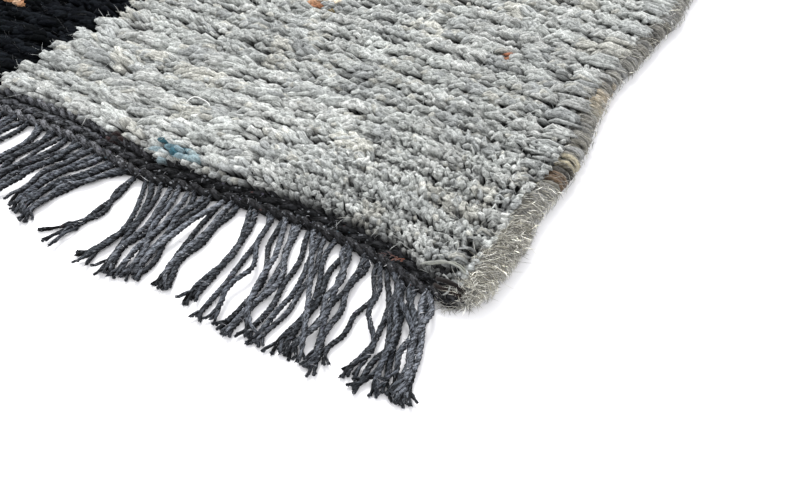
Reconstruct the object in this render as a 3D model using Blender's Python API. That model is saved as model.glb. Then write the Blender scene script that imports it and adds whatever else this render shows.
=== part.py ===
"""A small hand-knotted rug of thick wool, lying flat on Z = 0.

Its pieces: the knotted pile field, a wool-wrapped roll along each side, a twined cord across
each end, and the warp ends that leave a second twined cord as fringe. Metres, +Z up; X runs
across the rug, Y along it, and the rug is centred on both.

Every piece is drawn first as if the rug were a true rectangle, in "laid" coordinates, and
lay() then moves its plan to where the hand-made edges really run. Neighbours share that
function and its stations, so the gap between them stays even.
"""

import math

import bmesh
import bpy
from mathutils import Vector, noise

MM = 0.001
GAP = 0.3 * MM  # clearance between neighbouring pieces

# Each kind of unevenness is read from its own layer of the noise
HEIGHT_LAYER, DRIFT_LAYER, WRAP_LAYER, LENGTH_LAYER = 3.0, 7.0, 11.0, 17.0

# Driving sizes
RUG_WIDTH = 600 * MM  # over both side rolls
FIELD_LENGTH = 900 * MM  # the pile alone
KNOT_ROWS = 38  # rows of knots along the length
KNOT_COLUMNS = 26  # lumps of pile modelled across the width
PILE_CREST = 21 * MM
PILE_VALLEY = 13.5 * MM
ROLL_WIDTH = 22 * MM
ROLL_HEIGHT = 16 * MM
CORD_WIDTH = 8.6 * MM  # each twined cord at the ends
CORD_HEIGHT = 9.5 * MM
STRANDS_PER_COLUMN = 3
STRAND_WIDTH = 5.2 * MM
STRAND_HEIGHT = 5.0 * MM

GREY_WOOL = (0.42, 0.44, 0.43)
HAIRY_WOOL = (0.30, 0.28, 0.23)
CHARCOAL_YARN = (0.048, 0.05, 0.058)
WOOL_ROUGHNESS = 0.95
SHARP_EDGE = math.radians(50)

# Worked out from them
FIELD_HALF_WIDTH = RUG_WIDTH / 2 - ROLL_WIDTH - GAP
FIELD_HALF_LENGTH = FIELD_LENGTH / 2
ROW_PITCH = FIELD_LENGTH / KNOT_ROWS
COLUMN_PITCH = 2 * FIELD_HALF_WIDTH / KNOT_COLUMNS
STRANDS = KNOT_COLUMNS * STRANDS_PER_COLUMN
STRAND_PITCH = COLUMN_PITCH / STRANDS_PER_COLUMN
ROW_Y = [-FIELD_HALF_LENGTH + ROW_PITCH * i for i in range(KNOT_ROWS + 1)]
COLUMN_X = [-FIELD_HALF_WIDTH + COLUMN_PITCH * i for i in range(KNOT_COLUMNS + 1)]

# How far the side edges stray: laid y, shift along +X of the right and of the left edge (mm)
SIDE_STRAY = (
    (-450, -1, -2),
    (-400, 1, -4),
    (-350, -2, -2),
    (-316, 3, 0),
    (-270, 1, 3),
    (-235, -5, 4),
    (-180, -10, 3),
    (-130, -5, 0),
    (-90, -2, -2),
    (-20, 4, -5),
    (10, 0, -2),
    (150, 4, 4),
    (270, -4, 2),
    (380, 3, -3),
    (450, 0, 1),
)
# How far the rows of knots stray along +Y: laid x, shift of every row, more at the front end (mm)
ROW_STRAY = (
    (-300, -4, 14),
    (-160, 1, 11),
    (-47, 1, 10.5),
    (3, 1, 4),
    (25, 1, 0),
    (80, 1, 7),
    (120, 0, 13.5),
    (170, -2, 17),
    (208, -3.5, 15.5),
    (233, -5.5, 12.5),
    (258, -7.5, 7.5),
    (300, -10, 8),
)
BACK_STRAY_SHARE = -0.6  # the back end strays less than the front, and the other way
SIDE_REACH = 70 * MM  # how far into the field a side edge's stray is felt
END_REACH = 5 * ROW_PITCH  # and an end's

# The pile across one row, from its front: share of the pitch, share of the way up to the crest
ROW_PROFILE = ((0.0, 0.0), (0.24, 1.0), (0.68, 0.72))
LUMP_HEIGHT = 3.4 * MM  # most that a tuft stands over or under the crest, nearly
LUMP_DRIFT = 4.0 * MM  # and that it strays along the rug
LUMPS_PER_COLUMN = 1.7
LUMPS_PER_ROW = 1.9
RIM_DROP = 2.0 * MM  # how much lower the pile is at the field's rim

# Section of a side roll: share of its width from the field outwards, share of its height
ROLL_SECTION = ((0.0, 0.0), (0.72, 0.0), (1.0, 0.36), (0.86, 0.78), (0.46, 1.0), (0.0, 0.9))
ROLL_PAST_END = 11.0 * MM  # the roll runs on beside the cords
ROLL_TIP_WIDTH = 0.7  # a roll's size at its very ends, as a share of its full size
ROLL_TIP_HEIGHT = 0.62
WRAP_RIDGE = 0.9 * MM

# Section of the inner cord: share of its width outwards, share of its height
CORD_SECTION = ((0.0, 0.0), (1.0, 0.0), (0.95, 0.55), (0.5, 1.0), (0.0, 0.7))
# The outer cord's, from the back round its foot to its front; its lower front carries the strands
HEADING_SECTION = ((0.0, 0.0), (1.0, 0.0), (1.0, 0.0), (0.5, 0.92), (0.0, 0.7))
HEADING_FRONT = 2  # the section point at the strands' upper edge
STITCH_DIP = 0.3  # how far a cord drops between stitches, as a share of its height

# The fringe's bunches from right to left: strands, shift of the tips along +X (mm),
# spacing of the tips (mm), length (mm)
BUNCHES = (
    (4, 24, 7.4, 79),
    (3, 20, 6.8, 90),
    (1, 16, 7.0, 89),
    (2, 17, 6.4, 97),
    (3, 17, 6.0, 98),
    (3, 18, 6.0, 102),
    (3, 20, 6.0, 104),
    (2, 20, 6.2, 100),
    (2, 16, 6.2, 94),
    (3, 14, 6.0, 90),
    (7, 16, 6.0, 90),
    (2, 16, 6.4, 86),
    (1, 5, 7.0, 81),
    (7, -16, 6.1, 75),
    (3, -13, 6.2, 80),
    (6, -9, 5.9, 86),
    (4, -7, 6.0, 88),
    (5, -7, 5.9, 90),
    (3, -5, 6.2, 88),
    (5, -6, 5.9, 92),
    (4, -7, 6.0, 90),
    (5, -7, 5.9, 88),
)
STRAND_STEPS = (0.24, 0.62, 1.0)  # shares of a strand's length with a section of their own
STRAND_TOP_SHARE = 0.66  # width of a strand's top over its foot
STRAND_TAPER = 0.08  # how much narrower a strand's tip is than its root
TIP_BEND = 1.15  # over 1, a strand leans more towards its tip
UNEVEN_ENDS = 3.0 * MM  # most that one strand's length differs from its bunch's, nearly
STRAND_SWAY = (1.6 * MM, 0.9 * MM)  # how far strands bend off a straight line, bunch by bunch


def between(table, at, column):
    """A table's column at a place, eased from row to row; the first column holds the places in mm."""
    place = at / MM
    if place <= table[0][0]:
        return table[0][column] * MM
    for low, high in zip(table, table[1:]):
        if place <= high[0]:
            share = (place - low[0]) / (high[0] - low[0])
            eased = share * share * (3 - 2 * share)
            return (low[column] + (high[column] - low[column]) * eased) * MM
    return table[-1][column] * MM


def joined_up(values, first, pitch, at):
    """Straight lines through values at even stations, so that neighbouring pieces share their corners."""
    along = min(max((at - first) / pitch, 0.0), len(values) - 1.0)
    index = min(int(along), len(values) - 2)
    return values[index] + (values[index + 1] - values[index]) * (along - index)


RIGHT_STRAY = [between(SIDE_STRAY, y, 1) for y in ROW_Y]
LEFT_STRAY = [between(SIDE_STRAY, y, 2) for y in ROW_Y]
ALL_ROWS_STRAY = [between(ROW_STRAY, x, 1) for x in COLUMN_X]
END_STRAY = [between(ROW_STRAY, x, 2) for x in COLUMN_X]
RIGHT_SHARE = [max(0.0, 1 - (FIELD_HALF_WIDTH - x) / SIDE_REACH) for x in COLUMN_X]
FRONT_SHARE = [max(0.0, 1 - (y + FIELD_HALF_LENGTH) / END_REACH) for y in ROW_Y]


def lay(x, y):
    """Where a point of the true rectangle lies on the hand-made rug."""

    def across(values):
        return joined_up(values, COLUMN_X[0], COLUMN_PITCH, x)

    def along(values):
        return joined_up(values, ROW_Y[0], ROW_PITCH, y)

    right = along(RIGHT_STRAY) * across(RIGHT_SHARE)
    left = along(LEFT_STRAY) * across(RIGHT_SHARE[::-1])
    ends = along(FRONT_SHARE) + BACK_STRAY_SHARE * along(FRONT_SHARE[::-1])
    return x + right + left, y + across(ALL_ROWS_STRAY) + across(END_STRAY) * ends


def lump(x, y, layer):
    """A smooth value from -1 to 1 that differs from tuft to tuft."""
    place = (x / COLUMN_PITCH * LUMPS_PER_COLUMN, y / ROW_PITCH * LUMPS_PER_ROW, layer)
    return noise.noise(Vector(place))


def finish(name, bm, colour):
    """Makes the object, shaded smooth but for its true edges, with its own wool material."""
    bmesh.ops.recalc_face_normals(bm, faces=bm.faces)
    mesh = bpy.data.meshes.new(name)
    bm.to_mesh(mesh)
    bm.free()
    mesh.shade_smooth()
    mesh.set_sharp_from_angle(angle=SHARP_EDGE)
    material = bpy.data.materials.new(name + "_wool")
    material.use_nodes = True
    shader = material.node_tree.nodes["Principled BSDF"]
    shader.inputs["Base Color"].default_value = (*colour, 1.0)
    shader.inputs["Roughness"].default_value = WOOL_ROUGHNESS
    mesh.materials.append(material)
    piece = bpy.data.objects.new(name, mesh)
    bpy.context.scene.collection.objects.link(piece)
    return piece


def clear_scene():
    for old in list(bpy.data.objects):
        bpy.data.objects.remove(old, do_unlink=True)


def pile_height(x, y, share):
    """Top of the pile: the row's profile, lumpy from tuft to tuft and lower at the field's rim."""
    rim = min(FIELD_HALF_WIDTH - abs(x), FIELD_HALF_LENGTH - abs(y)) / ROW_PITCH
    lowered = RIM_DROP * max(0.0, 1 - rim)
    crest = PILE_CREST + LUMP_HEIGHT * share * lump(x, y, HEIGHT_LAYER) - lowered
    return PILE_VALLEY + (crest - PILE_VALLEY) * share


def build_field():
    """The knotted field: one slab whose top carries a ridge for every row of knots."""
    lines = [
        (ROW_Y[row] + ROW_PITCH * place, share)
        for row in range(KNOT_ROWS)
        for place, share in ROW_PROFILE
    ]
    lines.append((ROW_Y[-1], 0.0))
    bm = bmesh.new()
    bmesh.ops.create_grid(bm, x_segments=KNOT_COLUMNS, y_segments=len(lines) - 1, size=1)
    for vert in bm.verts:
        x = COLUMN_X[round((vert.co.x + 1) / 2 * KNOT_COLUMNS)]
        y, share = lines[round((vert.co.y + 1) / 2 * (len(lines) - 1))]
        inside = not vert.is_boundary
        plan_x, plan_y = lay(x, y)
        drift = LUMP_DRIFT * lump(x, y, DRIFT_LAYER) if inside else 0.0
        vert.co = (plan_x, plan_y + drift, pile_height(x, y, share))
    rim = [edge for edge in bm.edges if edge.is_boundary]
    skirt = bmesh.ops.extrude_edge_only(bm, edges=rim)["geom"]
    for vert in (item for item in skirt if isinstance(item, bmesh.types.BMVert)):
        vert.co.z = 0.0
    foot = [item for item in skirt if isinstance(item, bmesh.types.BMEdge) and item.is_boundary]
    bmesh.ops.contextual_create(bm, geom=foot)
    return finish("pile_field", bm, GREY_WOOL)


def close_tube(bm, rings, closed_sides):
    """Skins a row of rings of vertices and caps both ends; closed_sides(i, j) may leave a face open."""
    points = len(rings[0])
    for i, (near, far) in enumerate(zip(rings, rings[1:])):
        for j in range(points):
            k = (j + 1) % points
            if closed_sides(i, j):
                bm.faces.new((near[j], near[k], far[k], far[j]))
    bm.faces.new(rings[0])
    bm.faces.new(rings[-1][::-1])


def build_roll(name, side):
    """A side roll: the outer warps wrapped with coarse wool, so its top is ridged turn by turn."""
    past = ROW_PITCH / 2
    stations = [ROW_Y[0] - ROLL_PAST_END, ROW_Y[0] - ROLL_PAST_END / 2]
    stations += [ROW_Y[0] + past * i for i in range(2 * KNOT_ROWS + 1)]
    stations += [ROW_Y[-1] + ROLL_PAST_END / 2, ROW_Y[-1] + ROLL_PAST_END]
    bm = bmesh.new()
    rings = []
    for index, y in enumerate(stations):
        ridge = WRAP_RIDGE * (1 if index % 2 else -1) + WRAP_RIDGE * lump(0.0, y, WRAP_LAYER)
        last = index in (0, len(stations) - 1)
        height = ROLL_HEIGHT * (ROLL_TIP_HEIGHT if last else 1.0) + ridge
        width = ROLL_WIDTH * (ROLL_TIP_WIDTH if last else 1.0) + ridge
        ring = []
        for out, up in ROLL_SECTION:
            plan_x, plan_y = lay(side * (FIELD_HALF_WIDTH + GAP + width * out), y)
            ring.append(bm.verts.new((plan_x, plan_y, height * up)))
        rings.append(ring)
    close_tube(bm, rings, lambda i, j: True)
    return finish(name, bm, HAIRY_WOOL)


def end_point(end, x, out, z):
    """A point beside an end: end is -1 at the front and 1 at the back, out is measured from the field."""
    plan_x, plan_y = lay(x, end * (FIELD_HALF_LENGTH + GAP + out))
    return plan_x, plan_y, z


def stitch_share(index, slant):
    """Height share of a twined cord at a half stitch: full on a stitch, lower between two."""
    return 1.0 if (index + slant) % 2 else 1.0 - STITCH_DIP


def build_cord(name, end):
    """The inner twined cord, lying against the pile's end: one bump for every stitch."""
    bm = bmesh.new()
    rings = []
    for index in range(STRANDS + 1):
        x = COLUMN_X[0] + STRAND_PITCH * index
        ring = [
            bm.verts.new(end_point(end, x, CORD_WIDTH * out, CORD_HEIGHT * up * stitch_share(index, 0)))
            for out, up in CORD_SECTION
        ]
        rings.append(ring)
    close_tube(bm, rings, lambda i, j: True)
    return finish(name, bm, CHARCOAL_YARN)


def bunched_strands():
    """For each strand from right to left: its place in the root row, tip shift, length and bunch."""
    strands = []
    for bunch, (count, shift, spacing, length) in enumerate(BUNCHES):
        first = len(strands)
        for member in range(count):
            off_middle = (count - 1) / 2 - member
            root = FIELD_HALF_WIDTH - STRAND_PITCH * (first + member + 0.5)
            tip_shift = shift * MM + off_middle * (spacing * MM - STRAND_PITCH)
            uneven = UNEVEN_ENDS * lump(root, 0.0, LENGTH_LAYER)
            strands.append((root, tip_shift, length * MM + uneven, bunch))
    return strands


def strand_ring(bm, end, root, tip_shift, length, bunch, share):
    """Four corners of a strand at a share of its length, flat on the floor, narrower on top."""
    foot_x, foot_y, _ = end_point(end, root, GAP + 2 * CORD_WIDTH, 0.0)
    sway = STRAND_SWAY[bunch % 2] * math.sin(math.pi * share)
    middle_x = foot_x - end * (tip_shift * share ** TIP_BEND + sway)
    middle_y = foot_y + end * length * share
    half = STRAND_WIDTH / 2 * (1.0 - STRAND_TAPER * share)
    top_half = half * STRAND_TOP_SHARE
    ring = []
    for across, z in ((-half, 0.0), (half, 0.0), (top_half, STRAND_HEIGHT), (-top_half, STRAND_HEIGHT)):
        ring.append(bm.verts.new((middle_x + across, middle_y, z)))
    return ring


def build_fringe(name, end):
    """The outer twined cord with the warp ends that leave it; the cord is their heading."""
    strands = bunched_strands()
    if end > 0:  # the back end is the front end turned half round
        strands = [(-root, shift, length, bunch) for root, shift, length, bunch in strands]
    strands.sort()
    half = STRAND_WIDTH / 2
    edges = [x for root, *_ in strands for x in (root - half, root + half)]
    stations = [COLUMN_X[0] + GAP, *edges, COLUMN_X[-1] - GAP]
    bm = bmesh.new()
    rings = []
    for index, x in enumerate(stations):
        ring = []
        for point, (out, up) in enumerate(HEADING_SECTION):
            z = STRAND_HEIGHT if point == HEADING_FRONT else CORD_HEIGHT * up * stitch_share(index // 2, 1)
            ring.append(bm.verts.new(end_point(end, x, GAP + CORD_WIDTH * (1 + out), z)))
        rings.append(ring)
    strand_side = HEADING_FRONT - 1
    close_tube(bm, rings, lambda i, j: j != strand_side or i % 2 == 0)
    for index, (root, tip_shift, length, bunch) in enumerate(strands):
        left, right = rings[2 * index + 1], rings[2 * index + 2]
        ring = [left[1], right[1], right[HEADING_FRONT], left[HEADING_FRONT]]
        for share in STRAND_STEPS:
            far = strand_ring(bm, end, root, tip_shift, length, bunch, share)
            for j in range(4):
                k = (j + 1) % 4
                bm.faces.new((ring[j], ring[k], far[k], far[j]))
            ring = far
        bm.faces.new(ring)
    return finish(name, bm, CHARCOAL_YARN)


clear_scene()
build_field()
build_roll("selvedge_right", 1)
build_roll("selvedge_left", -1)
build_cord("twining_front", -1)
build_cord("twining_back", 1)
build_fringe("fringe_front", -1)
build_fringe("fringe_back", 1)
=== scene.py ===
# %% [markdown]
# # A hand-knotted rug of thick wool
# The rug lies flat. Its pile is cut yarn, knotted row by row on cotton warps. A roll wrapped in
# hairy wool guards each side, two twined cords lock each end, and the warps leave as fringe.
# The imported solids fix where everything lies, so they are loaded first.

import math

import bpy
import numpy as np
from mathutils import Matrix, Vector, noise


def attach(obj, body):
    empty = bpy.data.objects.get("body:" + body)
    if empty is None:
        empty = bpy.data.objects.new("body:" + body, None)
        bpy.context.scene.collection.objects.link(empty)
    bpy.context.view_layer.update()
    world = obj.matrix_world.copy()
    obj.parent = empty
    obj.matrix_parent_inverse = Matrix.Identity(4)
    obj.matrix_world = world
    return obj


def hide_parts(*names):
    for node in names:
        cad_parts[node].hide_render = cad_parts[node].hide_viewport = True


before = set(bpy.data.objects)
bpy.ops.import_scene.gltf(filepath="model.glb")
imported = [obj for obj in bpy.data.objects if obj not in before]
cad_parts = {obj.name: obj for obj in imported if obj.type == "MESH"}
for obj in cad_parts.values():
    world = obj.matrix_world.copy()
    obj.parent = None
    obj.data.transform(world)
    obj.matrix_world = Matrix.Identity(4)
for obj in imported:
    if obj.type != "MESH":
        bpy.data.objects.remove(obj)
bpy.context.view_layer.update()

# %% [markdown]
# A knotted rug is never a true rectangle: the weaver beats one row harder than the next, and the
# side rolls pull in. The solids were drawn as a true rectangle and then moved by one function,
# and the wool is laid out with the same one.

# %% Sizes of the rug
MM = 0.001
GAP = 0.3 * MM
KNOT_ROWS, KNOT_COLUMNS, STRANDS = 38, 26, 78
HALF_X, HALF_Y = 277.7 * MM, 450 * MM  # of the pile field
ROLL_WIDTH, ROLL_HEIGHT, ROLL_END = 22 * MM, 16 * MM, 11 * MM
CORD_WIDTH, CORD_HEIGHT = 8.6 * MM, 9.5 * MM
ROW_PITCH = 2 * HALF_Y / KNOT_ROWS
COLUMN_PITCH = 2 * HALF_X / KNOT_COLUMNS
STRAND_PITCH = 2 * HALF_X / STRANDS
print(f"rows of knots every {ROW_PITCH / MM:.1f} mm, fringe strands every {STRAND_PITCH / MM:.1f} mm")

# %% Where the hand-made edges run
SIDE_STRAY = np.array(  # place along the rug, shift of the right and of the left edge, all in mm
    [(-450, -1, -2), (-400, 1, -4), (-350, -2, -2), (-316, 3, 0), (-270, 1, 3), (-235, -5, 4),
     (-180, -10, 3), (-130, -5, 0), (-90, -2, -2), (-20, 4, -5), (10, 0, -2), (150, 4, 4),
     (270, -4, 2), (380, 3, -3), (450, 0, 1)]
) * MM
ROW_STRAY = np.array(  # place across the rug, shift of every row and of the rows at the ends, all in mm
    [(-300, -4, 14), (-160, 1, 11), (-47, 1, 10.5), (3, 1, 4), (25, 1, 0), (80, 1, 7), (120, 0, 13.5),
     (170, -2, 17), (208, -3.5, 15.5), (233, -5.5, 12.5), (258, -7.5, 7.5), (300, -10, 8)]
) * MM
ROW_Y = np.linspace(-HALF_Y, HALF_Y, KNOT_ROWS + 1)
COLUMN_X = np.linspace(-HALF_X, HALF_X, KNOT_COLUMNS + 1)


def smooth(share):
    """A share from 0 to 1, made to start and end gently."""
    return share * share * (3 - 2 * share)


def eased(table, at, column):
    """A column of a table at a place, eased from row to row."""
    row = np.clip(np.searchsorted(table[:, 0], at) - 1, 0, len(table) - 2)
    share = np.clip((at - table[row, 0]) / (table[row + 1, 0] - table[row, 0]), 0, 1)
    return table[row, column] + (table[row + 1, column] - table[row, column]) * smooth(share)


SIDE_SHARE = np.maximum(0, 1 - (HALF_X - COLUMN_X) / (70 * MM))
END_SHARE = np.maximum(0, 1 - (ROW_Y + HALF_Y) / (5 * ROW_PITCH))
RIGHT_STRAY, LEFT_STRAY = (eased(SIDE_STRAY, ROW_Y, column) for column in (1, 2))
EVERY_ROW, AT_ENDS = (eased(ROW_STRAY, COLUMN_X, column) for column in (1, 2))


def lay(x, y):
    """Where points of the true rectangle lie on the hand-made rug."""
    right = np.interp(y, ROW_Y, RIGHT_STRAY) * np.interp(x, COLUMN_X, SIDE_SHARE)
    left = np.interp(y, ROW_Y, LEFT_STRAY) * np.interp(x, COLUMN_X, SIDE_SHARE[::-1])
    ends = np.interp(y, ROW_Y, END_SHARE) - 0.6 * np.interp(y, ROW_Y, END_SHARE[::-1])
    shift = np.interp(x, COLUMN_X, EVERY_ROW) + np.interp(x, COLUMN_X, AT_ENDS) * ends
    return x + right + left, y + shift


def lump(x, y, layer):
    """From -1 to 1, differing from tuft to tuft, as the solids do."""
    return noise.noise(Vector((x / COLUMN_PITCH * 1.7, y / ROW_PITCH * 1.9, layer)))


print("front right corner of the pile lies at", np.round(lay(HALF_X, -HALF_Y), 4))

# %% [markdown]
# Wool colours are picked as sRGB hex, as from a dyer's card, and the shader wants them linear.
# One small function adds every node of every material.

# %% Colour, node and object helpers


def linear(hex_colour):
    """An sRGB hex colour as linear red, green and blue."""
    channels = [int(hex_colour[i : i + 2], 16) / 255 for i in (1, 3, 5)]
    return [c / 12.92 if c <= 0.04045 else ((c + 0.055) / 1.055) ** 2.4 for c in channels]


def dyes(hex_colours):
    """Hex colours, parted by spaces, as rows of linear red, green and blue."""
    return np.array([linear(each) for each in hex_colours.split()])


def feed(node, inputs):
    """Feeds a node. inputs are pairs of a socket and the output or the value that it gets."""
    for socket, source in inputs:
        if isinstance(source, bpy.types.NodeSocket):
            node.id_data.links.new(source, node.inputs[socket])
        else:
            node.inputs[socket].default_value = source


def add_node(material, kind, inputs=(), **settings):
    """Adds a node to a material."""
    node = material.node_tree.nodes.new("ShaderNode" + kind)
    for name, value in settings.items():
        setattr(node, name, value)
    feed(node, inputs)
    return node


def computed(material, operation, *values):
    """The result of a Math node that gets outputs or numbers."""
    return add_node(material, "Math", enumerate(values), operation=operation).outputs[0]


def matt_material(name, roughness, specular):
    """A new material with little shine, and its shader."""
    made = bpy.data.materials.new(name)
    made.use_nodes = True
    shader = made.node_tree.nodes["Principled BSDF"]
    feed(shader, [("Roughness", roughness), ("Specular IOR Level", specular)])
    return made, shader


def add_object(name, data):
    """A new object, linked into the scene."""
    made = bpy.data.objects.new(name, data)
    bpy.context.scene.collection.objects.link(made)
    return made


print("mid grey wool in linear light:", np.round(linear("#b3b7b6"), 3))

# %% [markdown]
# ## Studio
# Wool shows best on a pale floor under one large soft lamp, behind it and to the left. A weak lamp
# in front and a pale surround fill the rest, so that only a soft shadow stays under the edge.

# %% Floor
FLOOR_REACH = 6.0
CORNERS = ((-1, -1, 0), (1, -1, 0), (1, 1, 0), (-1, 1, 0))
floor_mesh = bpy.data.meshes.new("floor")
floor_mesh.from_pydata(FLOOR_REACH * np.array(CORNERS), [], [(0, 1, 2, 3)])
paper, paper_shader = matt_material("white_sweep_paper", 0.9, 0.1)
feed(paper_shader, [("Base Color", (*linear("#f6f6f8"), 1))])
floor_mesh.materials.append(paper)
add_object("floor", floor_mesh)
print("floor", 2 * FLOOR_REACH, "m wide")

# %% Lamps and surround


def add_lamp(name, place, aim, size, power):
    """A square soft white lamp at a place, aimed at a point."""
    data = bpy.data.lights.new(name, "AREA")
    data.size, data.energy = size, power
    lamp = add_object(name, data)
    lamp.location = place
    lamp.rotation_euler = (Vector(aim) - Vector(place)).to_track_quat("-Z", "Y").to_euler()


add_lamp("key_lamp", (-1.6, 1.9, 2.6), (0.05, -0.1, 0), 1.5, 170)
add_lamp("front_lamp", (1.6, -2.2, 2.4), (0.1, -0.2, 0), 2.2, 40)
world = bpy.data.worlds.new("pale_surround")
world.use_nodes = True
feed(world.node_tree.nodes["Background"], [("Color", (*linear("#fdfdff"), 1)), ("Strength", 1.0)])
bpy.context.scene.world = world
bpy.context.scene.view_settings.view_transform = "Standard"
print("two lamps and a pale surround")

# %% Camera
CAMERA_PLACE = (0.4236, -0.7787, 0.36)
CAMERA_HEADING = (-0.495, 0.869)  # in plan
CAMERA_TILT = math.radians(42.31)  # below the level
camera_data = bpy.data.cameras.new("camera")
camera_data.lens, camera_data.sensor_width, camera_data.clip_start = 36.585, 36.0, 0.01
camera = add_object("camera", camera_data)
camera.location = CAMERA_PLACE
level = [part * math.cos(CAMERA_TILT) for part in CAMERA_HEADING]
facing = Vector((*level, -math.sin(CAMERA_TILT)))
camera.rotation_euler = facing.to_track_quat("-Z", "Y").to_euler()
bpy.context.scene.camera = camera
print("camera", CAMERA_PLACE[2], "m above the floor")

# %% [markdown]
# ## Yarn
# Everything but the ground is yarn, so one function skins many yarns at once, as rings that close
# to a point at both ends. Every vertex keeps its place round and along its own yarn, so that a
# material can draw fibres and plies which follow it.

# %% Skin yarns
UP = (0.0, 0.0, 1.0)


def unit(vectors):
    """Vectors made one long."""
    return vectors / (np.linalg.norm(vectors, axis=-1, keepdims=True) + 1e-12)


def xyz(x, y, z):
    """Points from their three measures, or from one number for all."""
    return np.stack(np.broadcast_arrays(x, y, z), axis=-1)


def skin(centres, radii, across, sides, fluff=0.0):
    """Skins yarns. centres is yarns x stations x 3, radii is yarns x inner stations or one number,
    across a direction that no yarn runs along, and fluff how uneven the wall is.
    Returns points, quads, fans and the place on the yarn."""
    count, stations, _ = centres.shape
    rings = stations - 2
    along = unit(np.gradient(centres, axis=1)[:, 1:-1])
    side = unit(np.cross(along, np.broadcast_to(across, along.shape)))
    up = np.cross(side, along)
    angle = np.arange(sides) * 2 * math.pi / sides
    cos, sin = np.cos(angle), np.sin(angle)
    spokes = side[:, :, None] * cos[:, None] + up[:, :, None] * sin[:, None]
    radii = np.broadcast_to(radii, (count, rings))
    reach = radii[:, :, None, None] + rng.normal(0, fluff, (count, rings, sides, 1))
    walls = centres[:, 1:-1, None] + reach * spokes
    walls[..., 2] = np.maximum(walls[..., 2], 0.05 * MM)  # what lies on the floor is pressed flat
    points = np.concatenate([walls.reshape(count, -1, 3), centres[:, :1], centres[:, -1:]], axis=1)
    step = np.linalg.norm(np.diff(centres, axis=1), axis=2)
    length = np.concatenate([np.zeros((count, 1)), np.cumsum(step, axis=1)], axis=1)
    place = np.zeros((count, points.shape[1], 3))
    place[:, :-2, :2] = np.tile(np.stack([cos, sin], axis=1), (rings, 1))
    place[:, :-2, 2] = np.repeat(length[:, 1:-1], sides, axis=1)
    place[:, -1, 2] = length[:, -1]
    near = np.arange(rings * sides).reshape(rings, sides)
    turned = np.roll(near, -1, axis=1)
    quads = np.stack([near[:-1], near[1:], turned[1:], turned[:-1]], axis=2).reshape(-1, 4)
    fans = xyz(near[0], turned[0], near.size), xyz(turned[-1], near[-1], near.size + 1)
    offset = (np.arange(count) * (near.size + 2))[:, None, None]
    quads, fans = (quads + offset).reshape(-1, 4), (np.concatenate(fans) + offset).reshape(-1, 3)
    return points.reshape(-1, 3), quads, fans, place


def as_piece(name, parts, material):
    """Joins skinned yarns into one piece. Each part is (skin's result, wool colours, lots)."""
    points, faces, marks = [], [], []
    base = 0
    for (part_points, quads, fans, place), wool, lot in parts:
        points.append(part_points)
        faces += (quads + base).tolist() + (fans + base).tolist()
        mark = np.ones((2, *place.shape[:2], 4))
        mark[0, :, :, :3], mark[0, :, :, 3] = place, np.reshape(lot, (-1, 1))
        mark[1, :, :, :3] = wool if wool.ndim == 3 else wool[:, None]
        marks.append(mark.reshape(2, -1, 4))
        base += len(part_points)
    mesh = bpy.data.meshes.new(name)
    mesh.from_pydata(np.concatenate(points), [], faces)
    mesh.shade_smooth()
    for attribute, values in zip(("yarn_place", "wool_colour"), np.concatenate(marks, axis=1)):
        made = mesh.attributes.new(attribute, "FLOAT_COLOR", "POINT")
        made.data.foreach_set("color", values.astype(np.float32).ravel())
    mesh.materials.append(material)
    piece = add_object(name, mesh)
    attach(piece, "root")
    piece_triangles[name] = sum(len(face) - 2 for face in faces)
    print(f"{name}: {piece_triangles[name]} triangles")
    return piece


piece_triangles = {}
print("a yarn is skinned from its centre line")

# %% [markdown]
# ## Wool
# Hand-spun pile wool is a soft single yarn: matt, a little silky at a grazing angle, with fibres of
# lighter and darker grey lying along it. The streaks are 0.8 mm wide and 7 mm long and the felt is
# drawn 2.2 mm coarse, far coarser than real fibres of 0.05 mm, so that they show.

# %% Wool material
FELT = 2.2 * MM


def yarn_space(material, across, length, lots):
    """Where a point is on its yarn: x, y, the way along it, and all of them as one vector."""
    place = add_node(material, "Attribute", attribute_name="yarn_place")
    x, y, along = add_node(material, "SeparateXYZ", [(0, place.outputs["Vector"])]).outputs
    lot = computed(material, "MULTIPLY", place.outputs["Alpha"], lots)
    space = add_node(material, "CombineXYZ", enumerate((
        computed(material, "MULTIPLY_ADD", x, across, lot), computed(material, "MULTIPLY", y, across),
        computed(material, "MULTIPLY", along, 1 / length))))
    return x, y, along, space.outputs[0]


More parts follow.
